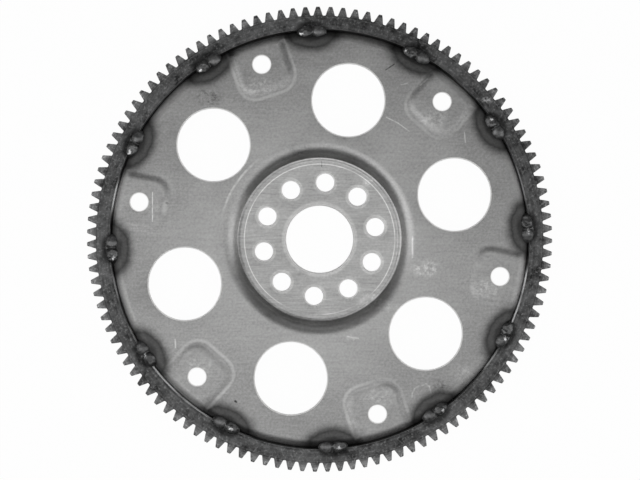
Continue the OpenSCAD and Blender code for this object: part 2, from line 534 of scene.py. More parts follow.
class NearestPlace(EffectGroup):
    """Distance to the nearest of several places, measured shorter along the rim than across it."""

    sockets = (VECTOR_IN, DISTANCE_OUT)

    def __init__(self, effect: Effect, places: list[Vector], along_rim: float) -> None:
        """Keeps what the group is made from.

        Args:
            effect: Which effect the group is.
            places: The places.
            along_rim: What a length along the rim counts.
        """
        self.effect = effect
        self.places = places
        self.along_rim = along_rim

    def fill(self, sheet: NodeSheet, given: Given) -> Sockets:
        """Adds one distance for each place and takes the smallest.

        Args:
            sheet: The group's node sheet.
            given: The group's inputs.

        Returns:
            The distance.
        """
        flat = sheet.flat(given["Vector"])
        nearest = None
        for place in self.places:
            tangent = tuple(Vector((-place.y, place.x, 0.0)).normalized())
            away = sheet.vector("SUBTRACT", flat, (place.x, place.y, 0.0))
            along = sheet.vector("DOT_PRODUCT", away, tangent)
            squeeze = sheet.vector("SCALE", tangent, scale=sheet.product(along, self.along_rim - 1.0))
            distance = sheet.vector("LENGTH", sheet.vector("ADD", away, squeeze))
            nearest = distance if nearest is None else sheet.math("MINIMUM", nearest, distance)
        return {"Distance": nearest}


@dataclass(frozen=True)
class Scratch:
    """A scratch that the photograph shows, by the pixels of its two ends."""

    start: Pair
    end: Pair
    width: float
    gain: float


@dataclass(frozen=True)
class Patch:
    """A round patch that the photograph shows, by its middle pixel, its reach in pixels and its strength."""

    place: Pair
    reach: float
    strength: float = 1.0


@dataclass(frozen=True)
class PressRing:
    """A thin ring round the axis: the seat step's mark, and elsewhere a painted highlight and painted shade."""

    radius: float
    width: float
    gain: float
    wear: WearAndLight


@dataclass(frozen=True)
class HoleRing:
    """Equal holes round the axis: how many, degrees from +X, circle, radius and width of the burnished edge."""

    count: int
    turn: float
    circle: float
    radius: float
    edge: float


@dataclass(frozen=True)
class PadLine:
    """A line inside a pad's outline: how far in, half width in full and to nothing, and gain."""

    inset: float
    core: float
    reach: float
    gain: float


Shelf = dict[Effect, Tree]


def build_shelf(welds: list[Vector], lobes: list[Vector], glints: list[Vector]) -> Shelf:
    """Builds the shared node groups.

    Args:
        welds: Middles of the weld beads.
        lobes: Middles of their smooth lobes.
        glints: Places of their painted glints.

    Returns:
        The groups' trees.
    """
    groups = (
        RolledGrain(), LineMark(), CircleMark(), SpotMark(), PadOutline(), PolarFold(),
        NearestPlace(Effect.HEAT, welds, along_rim=0.66), NearestPlace(Effect.LOBE, lobes, along_rim=0.95),
        NearestPlace(Effect.GLINT, glints, along_rim=0.75),
    )
    return {group.effect: group.build() for group in groups}


class MetalSheet(NodeSheet):
    """The nodes of one metal material, with its Object coordinates and the masks laid over them."""

    def __init__(self, name: str, shelf: Shelf) -> None:
        """Makes an empty metal material.

        Args:
            name: The material's name.
            shelf: The shared node groups.
        """
        self.material = bpy.data.materials.new(name)
        self.material.use_nodes = True
        super().__init__(self.material.node_tree)
        self.shelf = shelf
        self.point = self.add("ShaderNodeTexCoord").outputs["Object"]
        self.radius = self.length(self.point)

    def finish(self, grey: Socket, tint: Triple, rough: Socket, height: Socket, bump: Pair) -> Material:
        """Feeds the shader.

        Args:
            grey: Grey level of the surface.
            tint: Its factors for red, green and blue.
            rough: Roughness.
            height: Height map of the fine relief.
            bump: Strength of the relief and height of a full step.

        Returns:
            The material.
        """
        shader = self.tree.nodes["Principled BSDF"].inputs
        shader["Metallic"].default_value = 1.0
        colour = self.add("ShaderNodeCombineColor")
        for name, factor in zip(("Red", "Green", "Blue"), tint):
            self.feed(colour.inputs[name], self.product(grey, factor))
        relief = self.add("ShaderNodeBump")
        for name, value in zip(("Height", "Strength", "Distance"), (height, *bump)):
            self.feed(relief.inputs[name], value)
        self.feed(shader["Base Color"], colour.outputs[0])
        self.feed(shader["Roughness"], rough)
        self.feed(shader["Normal"], relief.outputs["Normal"])
        return self.material

    def effect(self, effect: Effect, **inputs: object) -> Given:
        """Places a shared group.

        Args:
            effect: Which group.
            inputs: Its inputs by name; Vector is the surface's point unless given.

        Returns:
            The group's outputs.
        """
        node = self.add("ShaderNodeGroup", node_tree=self.shelf[effect])
        for name, value in {"Vector": self.point, **inputs}.items():
            self.feed(node.inputs[name], value)
        return node.outputs

    def off_middle(self, x: float, y: float) -> Socket:
        """Gives the distance from the axis along one direction of the photograph."""
        return self.math("ABSOLUTE", self.vector("DOT_PRODUCT", self.point, tuple(photo_axes(x, y, 0.0))))

    def cloudy(self, scale: float, detail: float = 3.0, roughness: float = 0.55) -> Socket:
        """Adds a noise over the surface that varies about 0."""
        return self.centred(self.noise(self.point, scale, detail, roughness))

    def mottle(self, mottle: Mottle, stretch: Triple | None = None) -> Socket:
        """Turns a noise into a blotchy mask.

        Args:
            mottle: The noise and how it becomes a mask.
            stretch: Stretch along and across the rolling direction, if any.

        Returns:
            The mask.
        """
        point = self.rolled(self.point, stretch) if stretch else self.point
        value = self.noise(point, mottle.scale, mottle.detail, mottle.roughness)
        return self.fade(value, mottle.start, mottle.full, mottle.least, 1.0)

    def scratch(self, scratch: Scratch) -> Socket:
        """Masks one scratch.

        Args:
            scratch: The scratch.

        Returns:
            The mask.
        """
        start, end = photo_point(*scratch.start), photo_point(*scratch.end)
        along = (end - start).normalized()
        return self.effect(Effect.LINE, Start=tuple(start), Along=tuple(along), Length=(end - start).length,
                           Width=scratch.width)["Mask"]

    def patch(self, patch: Patch) -> Socket:
        """Masks one patch, not counting its strength."""
        centre = tuple(photo_point(*patch.place))
        return self.effect(Effect.SPOT, Centre=centre, Reach=patch.reach * PIXEL)["Mask"]

    def patches(self, patches: tuple[Patch, ...]) -> Socket:
        """Masks several patches by their strengths.

        Args:
            patches: The patches.

        Returns:
            The mask.
        """
        mask = 0.0
        for patch in patches:
            mask = self.math("MAXIMUM", mask, self.product(self.patch(patch), patch.strength))
        return mask

    def folded(self, holes: HoleRing) -> Socket:
        """Turns every hole of a ring onto +X."""
        point = self.stretched(self.point, holes.turn, (1.0, 1.0, 1.0)) if holes.turn else self.point
        return self.effect(Effect.FOLD, Vector=point, Step=math.tau / holes.count)["Folded"]

    def ramp(self, value: Socket, stops: tuple[Pair, ...]) -> Socket:
        """Adds a grey colour ramp.

        Args:
            value: Position on the ramp.
            stops: Pairs of position and grey level.

        Returns:
            The ramp's grey as a socket.
        """
        node = self.add("ShaderNodeValToRGB")
        self.feed(node.inputs["Fac"], value)
        elements = node.color_ramp.elements
        while len(elements) < len(stops):
            elements.new(0.5)
        for element, (position, grey) in zip(elements, stops):
            element.position = position
            element.color = (grey, grey, grey, 1.0)
        return node.outputs["Color"]


@dataclass(frozen=True)
class SheetSteel:
    """Bare rolled sheet: streaks, clouds, scuffs, bolt witness rings and weld heat tint, with painted highlights
    and painted shade on the rim's bend, round the hub and on the pads.
    """

    shelf: Shelf
    name: str = "pressed_steel"
    grey: float = 0.405
    tint: Triple = (1.0, 0.998, 0.99)
    # By distance to the axis, from the hub floor to the plate
    streak_gain: Change = (51.0 * MM, 54.0 * MM, 1.2, 0.46)
    cloud_gain: float = 0.46
    speckle_gain: float = 0.66
    # By distance to the axis: collar round the bore, plate, outer plate, the rim's bend painted lighter as a
    # highlight, and its foot painted darker, partly grime and partly painted shade in the groove
    tones: tuple[Change, ...] = (
        (23.4 * MM, 24.9 * MM, 1.28, 1.0), (52.0 * MM, 64.0 * MM, 1.0, 0.90), (64.0 * MM, 125.0 * MM, 1.0, 0.80),
        (126.5 * MM, 129.5 * MM, 1.0, 1.3), (131.0 * MM, 133.5 * MM, 1.0, 0.8),
    )
    # Where the bend is painted, and its tone by distance to the camera's upright middle line: painted shade at the
    # top and bottom, a painted highlight at the sides, over some soot
    bend_light_reach: Change = (128.0 * MM, 130.5 * MM, 0.0, 1.0)
    soot_and_light_tone: Change = (45.0 * MM, 110.0 * MM, 0.55, 1.15)
    roughness: float = 0.40
    cloud_roughness: float = 0.16
    speckle_roughness: float = 0.10
    rim_roughness: Change = (126.0 * MM, 131.0 * MM, 0.0, 0.28)
    speckle_height: float = 0.5
    bump: Pair = (0.14, 0.15 * MM)
    # Burnished edges of the holes
    edge_grey: float = 0.85
    edge_roughness: float = 0.75
    bore_edge: Change = (22.3 * MM, 22.6 * MM, 1.0, 0.0)
    crank_holes: HoleRing = HoleRing(10, 0.0, 36.5 * MM, 5.8 * MM, 0.7 * MM)
    pad_holes: HoleRing = HoleRing(6, 0.0, 117.5 * MM, 5.8 * MM, 0.4 * MM)
    lightening_holes: HoleRing = HoleRing(6, 30.0, 90.6 * MM, 23.2 * MM, 0.6 * MM)
    edge_full: float = 0.8
    edge_end: float = 1.3
    # Heat tint: how far it reaches, how far its edge wanders, and its tone from the weld outwards
    heat_reach: float = 17.0 * MM
    heat_wobble: float = 2.6 * MM
    wobble_scale: float = 170.0
    heat_steps: tuple[Pair, ...] = (
        (0.0, 0.09), (0.32, 0.14), (0.43, 0.27), (0.52, 0.27), (0.60, 0.18), (0.68, 0.38), (0.755, 0.62),
        (0.83, 0.82), (0.91, 0.94), (1.0, 1.0),
    )
    broken: Mottle = Mottle(300.0, 3.0, 0.34, 0.52, 0.40)
    arcs: Mottle = Mottle(26.0, 3.0, 0.40, 0.56, 0.15)
    uneven: Mottle = Mottle(38.0, 2.0, 0.38, 0.62, 0.3)
    grit: Mottle = Mottle(1.0, 4.0, 0.40, 0.72, roughness=0.7)
    grit_stretch: Triple = (380.0, 420.0, 380.0)
    # Rings round the axis: the seat step's edge, painted lighter as a highlight with some wear; a painted highlight
    # where the hub's recess meets the plate; painted highlights on the hub floor's edge, a thin dark line of
    # painted shade in its corner and painted shade on its left and lower side
    press_rings: tuple[PressRing, ...] = (
        PressRing(48.2 * MM, 0.50 * MM, 0.32, WearAndLight.SEATED),
        PressRing(64.0 * MM, 1.10 * MM, 0.22, WearAndLight.BEND_HIGHLIGHT),
        PressRing(50.1 * MM, 0.45 * MM, 0.14, WearAndLight.FILLET_HIGHLIGHT),
        PressRing(50.9 * MM, 0.45 * MM, -0.10, WearAndLight.BROKEN),
        PressRing(51.6 * MM, 0.90 * MM, -0.17, WearAndLight.FILLET_SHADE),
        PressRing(51.7 * MM, 0.45 * MM, 0.20, WearAndLight.FILLET_HIGHLIGHT),
    )
    # Where the painted highlight shows where the hub's recess meets the plate, and the stretches of the hub floor's
    # edge with painted highlights and with painted shade
    bend_highlight_patch: Patch = Patch((237.0, 185.0), 34.0 * MM / PIXEL)
    fillet_highlight_patches: tuple[Patch, ...] = (
        Patch((399.0, 239.0), 60.0), Patch((365.0, 172.0), 45.0), Patch((319.0, 159.0), 50.0),
    )
    fillet_shade_patches: tuple[Patch, ...] = (
        Patch((238.0, 242.0), 75.0), Patch((262.0, 296.0), 55.0), Patch((312.0, 320.0), 60.0),
    )
    # Rings that washers left round the crankshaft bolts
    washer_radius: float = 7.2 * MM
    washer_width: float = 0.9 * MM
    washer_gain: float = 0.13
    washer_arcs: Mottle = Mottle(70.0, 2.0, 0.40, 0.60, 0.25)
    # Lines of the pads: the foot is a painted highlight that fades near the camera's level middle line, and some
    # shoulders get a painted highlight over their shade
    foot: PadLine = PadLine(0.4 * MM, 0.2 * MM, 1.7 * MM, 0.13)
    foot_highlight_tone: Change = (40.0 * MM, 75.0 * MM, 0.15, 1.0)
    shoulder_highlight: PadLine = PadLine(4.4 * MM, 0.4 * MM, 2.6 * MM, 0.15)
    shoulder_highlight_patches: tuple[Patch, ...] = (
        Patch((165.6, 207.1), 18.0), Patch((215.0, 356.2), 34.0), Patch((368.8, 387.9), 34.0),
    )
    crown: Change = (-6.5 * MM, -3.5 * MM, 1.0, 0.0)
    crown_gain: float = 0.02
    scratches: tuple[Scratch, ...] = (
        Scratch((152.5, 192.0), (152.5, 221.0), 0.55 * MM, 0.32),
        Scratch((386.0, 117.0), (398.0, 123.0), 0.50 * MM, 0.24),
        Scratch((398.0, 123.0), (409.0, 131.0), 0.50 * MM, 0.24),
        Scratch((464.0, 132.0), (465.0, 142.0), 0.60 * MM, 0.20),
        Scratch((175.0, 339.0), (175.5, 347.0), 0.70 * MM, 0.24),
        Scratch((411.7, 397.0), (412.0, 392.5), 0.75 * MM, 0.09),
        Scratch((412.0, 392.5), (414.2, 388.3), 0.75 * MM, 0.09),
        Scratch((414.2, 388.3), (418.5, 385.2), 0.75 * MM, 0.09),
        Scratch((422.0, 385.0), (425.5, 383.2), 0.75 * MM, 0.09),
        Scratch((425.5, 383.2), (429.0, 386.0), 0.75 * MM, 0.10),
        Scratch((429.0, 386.0), (430.7, 392.0), 0.75 * MM, 0.10),
        Scratch((235.0, 400.7), (236.0, 401.3), 1.10 * MM, -0.26),
        Scratch((166.5, 202.7), (167.5, 203.3), 1.10 * MM, -0.22),
        Scratch((412.2, 236.0), (412.2, 257.0), 0.80 * MM, 0.26),
        Scratch((420.0, 85.0), (427.0, 79.0), 0.80 * MM, 0.16),
        Scratch((401.0, 84.5), (407.0, 83.0), 0.60 * MM, 0.16),
        Scratch((347.0, 336.0), (358.0, 338.0), 0.70 * MM, 0.16),
        Scratch((321.5, 161.0), (321.5, 166.0), 0.55 * MM, -0.20),
        Scratch((385.0, 70.0), (394.0, 64.0), 0.60 * MM, -0.20),
    )
    scuffs: tuple[Patch, ...] = (
        Patch((425.0, 268.0), 19.0, 0.34), Patch((434.0, 118.0), 22.0, 0.22), Patch((259.0, 86.0), 22.0, 0.18),
        Patch((486.0, 288.0), 20.0, 0.24), Patch((372.0, 300.0), 22.0, 0.20), Patch((199.0, 366.0), 20.0, 0.18),
        Patch((150.0, 205.0), 18.0, 0.12), Patch((246.0, 198.0), 12.0, 0.14), Patch((369.0, 182.0), 9.0, 0.34),
        Patch((352.0, 338.0), 8.0, 0.24), Patch((392.0, 308.0), 9.0, 0.22), Patch((462.0, 372.0), 16.0, 0.14),
        Patch((378.0, 395.0), 24.0, 0.16), Patch((208.0, 97.0), 18.0, -0.24), Patch((300.0, 150.0), 16.0, -0.14),
        Patch((440.0, 385.0), 12.0, -0.24),
    )

    def build(self) -> Material:
        """Makes the material.

        Returns:
            The material of the pressed plate.
        """
        sheet = MetalSheet(self.name, self.shelf)
        grain = sheet.effect(Effect.GRAIN)
        edge = self.hole_edges(sheet)
        tone = sheet.lay(self.zones(sheet), sheet.fade(sheet.radius, *self.streak_gain), grain["Streak"])
        tone = sheet.lay(tone, self.cloud_gain, grain["Cloud"])
        tone = sheet.lay(tone, self.speckle_gain, grain["Speckle"])
        grey = sheet.product(sheet.lay(self.marks(sheet), self.grey, tone), self.heat_tint(sheet))
        rough = sheet.lay(self.roughness, self.cloud_roughness, grain["Cloud"])
        rough = sheet.lay(rough, self.speckle_roughness, grain["Speckle"])
        rough = sheet.math("ADD", rough, sheet.fade(sheet.radius, *self.rim_roughness))
        height = sheet.lay(grain["Streak"], self.speckle_height, grain["Speckle"])
        return sheet.finish(sheet.blend(edge, grey, self.edge_grey), self.tint,
                            sheet.blend(edge, rough, self.edge_roughness), height, self.bump)

    def zones(self, sheet: MetalSheet) -> Socket:
        """Gives the tone of each zone: hub floor, plate, the rim's bend with painted shade at its top and bottom
        and a painted highlight at its sides, over some soot.

        Args:
            sheet: The material's nodes.

        Returns:
            The tone, 1 on the hub floor.
        """
        tone = sheet.product(*(sheet.fade(sheet.radius, *change) for change in self.tones))
        # Painted shade where the bend faces up and down the view, a painted highlight where it faces the sides
        soot_and_light = sheet.fade(sheet.off_middle(1.0, 0.0), *self.soot_and_light_tone)
        return sheet.product(tone, sheet.blend(sheet.fade(sheet.radius, *self.bend_light_reach), 1.0, soot_and_light))

    def hole_edges(self, sheet: MetalSheet) -> Socket:
        """Masks the burnished edges of every hole.

        Args:
            sheet: The material's nodes.

        Returns:
            The mask.
        """
        mask = sheet.fade(sheet.radius, *self.bore_edge)
        for holes in (self.crank_holes, self.pad_holes, self.lightening_holes):
            away = sheet.length(sheet.vector("SUBTRACT", sheet.folded(holes), (holes.circle, 0.0, 0.0)))
            full, end = (holes.radius + holes.edge * share for share in (self.edge_full, self.edge_end))
            mask = sheet.math("MAXIMUM", mask, sheet.fade(away, full, end))
        return mask

    def heat_tint(self, sheet: MetalSheet) -> Socket:
        """Gives the darkening round the welds.

        Args:
            sheet: The material's nodes.

        Returns:
            The factor, 1 away from the welds.
        """
        heat = sheet.effect(Effect.HEAT)["Distance"]
        wandering = sheet.lay(heat, self.heat_wobble, sheet.cloudy(self.wobble_scale))
        return sheet.ramp(sheet.math("DIVIDE", wandering, self.heat_reach), self.heat_steps)

    def marks(self, sheet: MetalSheet) -> Socket:
        """Adds up what scratches, scuffs, rings, press marks, painted highlights and painted shade do to the grey
        level.

        Args:
            sheet: The material's nodes.

        Returns:
            The change of the grey level.
        """
        total = 0.0
        broken = sheet.mottle(self.broken)
        for scratch in self.scratches:
            total = sheet.lay(total, scratch.gain, sheet.scratch(scratch), broken)
        grit = sheet.mottle(self.grit, self.grit_stretch)
        for scuff in self.scuffs:
            total = sheet.lay(total, scuff.strength, sheet.patch(scuff), grit)
        return self.pad_lines(sheet, self.rings(sheet, broken, total))

    def rings(self, sheet: MetalSheet, broken: Socket, total: Socket) -> Socket:
        """Adds the rings round the axis, painted highlights and painted shade among them, and the rings round the
        crankshaft bolts.

        Args:
            sheet: The material's nodes.
            broken: Mask that breaks up fine lines.
            total: The change of the grey level so far.

        Returns:
            The change with the rings.
        """
        # Where each ring shows: random arcs and breaks, and the stretches of painted highlight and painted shade
        wear = {
            WearAndLight.SEATED: sheet.mottle(self.arcs),
            WearAndLight.BEND_HIGHLIGHT: sheet.product(sheet.patch(self.bend_highlight_patch), broken),
            WearAndLight.FILLET_HIGHLIGHT: sheet.product(sheet.patches(self.fillet_highlight_patches), broken),
            WearAndLight.FILLET_SHADE: sheet.patches(self.fillet_shade_patches),
            WearAndLight.BROKEN: broken,
        }
        for ring in self.press_rings:
            mask = sheet.effect(Effect.CIRCLE, Radius=ring.radius, Width=ring.width)["Mask"]
            total = sheet.lay(total, ring.gain, mask, wear[ring.wear])
        washer = sheet.effect(Effect.CIRCLE, Vector=sheet.folded(self.crank_holes), Radius=self.washer_radius,
                              Centre=(self.crank_holes.circle, 0.0, 0.0), Width=self.washer_width)["Mask"]
        return sheet.lay(total, self.washer_gain, washer, sheet.mottle(self.washer_arcs))

    def pad_lines(self, sheet: MetalSheet, total: Socket) -> Socket:
        """Adds the painted highlights along the pads' feet and shoulders, and the crown of the pads.

        Args:
            sheet: The material's nodes.
            total: The change of the grey level so far.

        Returns:
            The change with the pads.
        """
        outline = sheet.effect(Effect.PAD, Vector=sheet.folded(self.pad_holes))["Distance"]
        uneven = sheet.product(sheet.mottle(self.uneven), sheet.fade(sheet.off_middle(0.0, 1.0), *self.foot_highlight_tone))
        # Painted highlights along the pads' feet and on some shoulders
        for line, where in ((self.foot, uneven), (self.shoulder_highlight, sheet.patches(self.shoulder_highlight_patches))):
            off = sheet.math("ABSOLUTE", sheet.math("ADD", outline, line.inset))
            total = sheet.lay(total, line.gain, sheet.fade(off, line.core, line.reach), where)
        return sheet.lay(total, self.crown_gain, sheet.fade(outline, *self.crown))


@dataclass(frozen=True)
class RingSteel:
    """Dark heat-treated steel: blotched scale, turned rings on its face, teeth lighter towards the tip, and a
    painted glint along the bore's edge.
    """

    shelf: Shelf
    name: str = "ring_steel"
    grey: float = 0.096
    tint: Triple = (0.99, 0.995, 1.0)
    plain_tone: float = 0.86
    least_tone: float = 0.25
    cloud_gain: float = 1.6
    blotch_gain: float = 2.6
    blotch_scale: float = 210.0
    line_gain: float = 0.9
    line_scale: float = 900.0
    fleck_gain: float = 1.2
    flecks: Mottle = Mottle(620.0, 4.0, 0.50, 0.72, roughness=0.65)
    # By distance to the axis, from the teeth's roots to their tips
    tip_tone: Change = (141.6 * MM, 148.6 * MM, 1.0, 2.35)
    # Soot and painted shade beside the beads, by distance to the nearest weld
    soot_and_light_tone: Change = (5.6 * MM, 8.4 * MM, 0.32, 1.0)
    flake: Patch = Patch((487.0, 100.0), 7.0, 0.35)
    flake_grit: Change = (-0.08, 0.10, 0.0, 1.0)
    roughness: float = 0.46
    blotch_roughness: float = 0.4
    blotch_height: float = 1.6
    line_height: float = 0.5
    bump: Pair = (0.22, 0.2 * MM)
    # The bore's bevel, and its inner part, painted near white as a glint in the stretches where light catches it
    bevel: Change = (134.2 * MM, 134.45 * MM, 1.0, 0.0)
    bevel_grey: float = 0.14
    bevel_roughness: float = 0.30
    thin_line: Change = (134.14 * MM, 134.32 * MM, 1.0, 0.0)
    bore_glint_grey: float = 0.95
    bore_glint_roughness: float = 0.80
    bore_glint_arcs: tuple[Patch, ...] = (
        Patch((160.0, 373.0), 72.0, 1.0), Patch((195.0, 407.0), 42.0, 0.8), Patch((114.0, 196.0), 34.0, 1.0),
        Patch((512.0, 318.0), 60.0, 1.0), Patch((524.0, 282.0), 30.0, 1.0), Patch((491.0, 359.0), 24.0, 0.7),
        Patch((521.0, 185.0), 40.0, 0.3), Patch((116.0, 286.0), 28.0, 0.35), Patch((133.0, 334.0), 18.0, 0.4),
        Patch((462.0, 86.0), 22.0, 0.2), Patch((244.0, 434.0), 14.0, 0.35),
    )

    def build(self) -> Material:
        """Makes the material.

        Returns:
            The material of the ring gear.
        """
        sheet = MetalSheet(self.name, self.shelf)
        grain = sheet.effect(Effect.GRAIN)
        lines = self.turned_lines(sheet)
        blotch = sheet.cloudy(self.blotch_scale, detail=4.0, roughness=0.6)
        tone = self.plain_tone
        for gain, layer in ((self.cloud_gain, grain["Cloud"]), (self.blotch_gain, blotch),
                            (self.line_gain, lines), (self.fleck_gain, sheet.mottle(self.flecks))):
            tone = sheet.lay(tone, gain, layer)
        # Soot and painted shade round each weld
        soot_and_light = sheet.fade(sheet.effect(Effect.HEAT)["Distance"], *self.soot_and_light_tone)
        tone = sheet.math("MAXIMUM", tone, self.least_tone)
        tone = sheet.product(tone, sheet.fade(sheet.radius, *self.tip_tone), soot_and_light)
        flake = sheet.product(sheet.patch(self.flake), sheet.fade(grain["Speckle"], *self.flake_grit))
        grey = sheet.lay(sheet.product(tone, self.grey), self.flake.strength, flake)
        rough = sheet.lay(self.roughness, self.blotch_roughness, blotch)
        bevel = sheet.fade(sheet.radius, *self.bevel)
        # Painted glint: a near-white line along the bore's edge, in some stretches only
        painted_bore_glint = sheet.product(sheet.patches(self.bore_glint_arcs), sheet.fade(sheet.radius, *self.thin_line))
        bevel_grey = sheet.blend(painted_bore_glint, self.bevel_grey, self.bore_glint_grey)
        bevel_rough = sheet.blend(painted_bore_glint, self.bevel_roughness, self.bore_glint_roughness)
        height = sheet.lay(sheet.lay(grain["Speckle"], self.line_height, lines), self.blotch_height, blotch)
        return sheet.finish(sheet.blend(bevel, grey, bevel_grey), self.tint, sheet.blend(bevel, rough, bevel_rough),
                            height, self.bump)

    def turned_lines(self, sheet: MetalSheet) -> Socket:
        """Gives the fine rings that turning left.

        Args:
            sheet: The material's nodes.

        Returns:
            The rings' value, about 0.
        """
        turned = sheet.add("ShaderNodeTexNoise", noise_dimensions="1D")
        for name, value in (("W", sheet.radius), ("Scale", self.line_scale), ("Detail", 3.0)):
            sheet.feed(turned.inputs[name], value)
        return sheet.centred(turned.outputs["Fac"])


@dataclass(frozen=True)
class WeldSteel:
    """Weld metal: a grey smooth lobe, a darker scaled one with a painted glint, and a toe darkened by soot and
    painted shade.
    """

    shelf: Shelf
    name: str = "weld_steel"
    tint: Triple = (0.99, 0.995, 1.0)
    scale_grey: float = 0.105
    scale_roughness: float = 0.42
    lobe_grey: float = 0.165
    lobe_roughness: float = 0.50
    lobe: Change = (3.5 * MM, 5.0 * MM, 1.0, 0.0)
    # A painted glint: a small near-white patch on each bead
    glint_grey: float = 0.62
    glint_roughness: float = 0.45
    glint: Change = (0.385 * MM, 1.10 * MM, 1.0, 0.0)
    glint_wobble: float = 5.0 * MM
    # Soot and painted shade along the beads' edges, by distance to the circle that the beads lie on
    toe_circle: float = 132.9 * MM
    toe_soot_and_shade: Change = (3.51 * MM, 5.4 * MM, 1.0, 0.25)
    cloud_gain: float = 1.6
    cloud_scale: float = 260.0
    fine_gain: float = 0.7
    fine_scale: float = 900.0
    fine_roughness: float = 0.3
    fine_height: float = 0.5
    bump: Pair = (0.12, 0.2 * MM)

    def build(self) -> Material:
        """Makes the material.

        Returns:
            The material of the weld beads.
        """
        sheet = MetalSheet(self.name, self.shelf)
        cloud = sheet.cloudy(self.cloud_scale, detail=2.0, roughness=0.5)
        fine = sheet.cloudy(self.fine_scale, detail=3.0, roughness=0.6)
        lobe = sheet.fade(sheet.effect(Effect.LOBE)["Distance"], *self.lobe)
        painted_weld_glint = sheet.fade(sheet.lay(sheet.effect(Effect.GLINT)["Distance"], self.glint_wobble, fine), *self.glint)
        across = sheet.math("ABSOLUTE", sheet.math("SUBTRACT", sheet.radius, self.toe_circle))
        grey = sheet.blend(lobe, self.scale_grey, self.lobe_grey)
        # Soot and painted shade darken the beads' edges
        grey = sheet.product(grey, sheet.lay(1.0, self.cloud_gain, cloud), sheet.lay(1.0, self.fine_gain, fine),
                             sheet.fade(across, *self.toe_soot_and_shade))
        rough = sheet.blend(lobe, self.scale_roughness, self.lobe_roughness)
        rough = sheet.lay(rough, self.fine_roughness, fine)
        height = sheet.lay(cloud, self.fine_height, fine)
        return sheet.finish(sheet.blend(painted_weld_glint, grey, self.glint_grey), self.tint,
                            sheet.blend(painted_weld_glint, rough, self.glint_roughness), height, self.bump)


def dress(piece: bpy.types.Object, material: Material) -> None:
    """Gives every face of a piece one material."""
    piece.data.materials.clear()
    piece.data.materials.append(material)


@dataclass
class SolidSkin:
    """A piece that shows its solid with true smooth curves and crisp edges."""

    node: bpy.types.Object
    slot: Slot = Slot.PRESSED_STEEL
    merge: float = 0.002 * MM
    crease: float = 26.0

    def build(self, material: Material) -> bpy.types.Object:
        """Makes the piece from a merged copy of its solid.

        Args:
            material: The piece's finish.

        Returns:
            The piece's object.
        """
        name = f"{self.node.name}_skin"
        mesh = self.node.data.copy()
        mesh.name = name
        bm = bmesh.new()
        bm.from_mesh(mesh)
        bmesh.ops.remove_doubles(bm, verts=bm.verts, dist=self.merge)
        bmesh.ops.recalc_face_normals(bm, faces=bm.faces)
        bm.to_mesh(mesh)
        bm.free()
        piece = bpy.data.objects.new(name, mesh)
        bpy.context.scene.collection.objects.link(piece)
        self.finish_form(piece)
        dress(piece, material)
        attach(piece, "root")
        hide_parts(self.node.name)
        return piece

    def finish_form(self, piece: bpy.types.Object) -> None:
        """Smooths the curves and keeps flat faces flat.

        Args:
            piece: The piece's object.
        """
        piece.data.shade_smooth()
        piece.data.set_sharp_from_angle(angle=math.radians(self.crease))
        even = piece.modifiers.new("flat_faces", "WEIGHTED_NORMAL")
        even.mode = "FACE_AREA"
        even.weight = 100
        even.keep_sharp = True


@dataclass
class DrivePlate(SolidSkin):
    """The pressed plate with its hub, pads, holes and turned-down rim."""

    slot: Slot = Slot.PRESSED_STEEL


@dataclass
class RingGear(SolidSkin):
    """The starter ring with its teeth."""

    slot: Slot = Slot.RING_STEEL


@dataclass(frozen=True)
class Lobe:
    """One round of a weld bead: where it sits along the rim and its reach along and across it."""

    along: float
    reach: float
    width: float
    edge: float = 0.92
    softness: float = 0.08

    def away(self, along: float, across: float) -> float:
        """Gives the distance from the lobe's middle, 1 at its edge."""
        return math.hypot((along - self.along) / self.reach, across / self.width)

    def cover(self, along: float, across: float) -> float:
        """Gives how far a point is on the lobe: 1 on top, 0 off it."""
        return 1.0 / (1.0 + math.exp((self.away(along, across) - self.edge) / self.softness))


def bell(distance: float, reach: float) -> float:
    """Gives 1 at distance 0 and falls off smoothly past the reach."""
    return math.exp(-((distance / reach) ** 2))


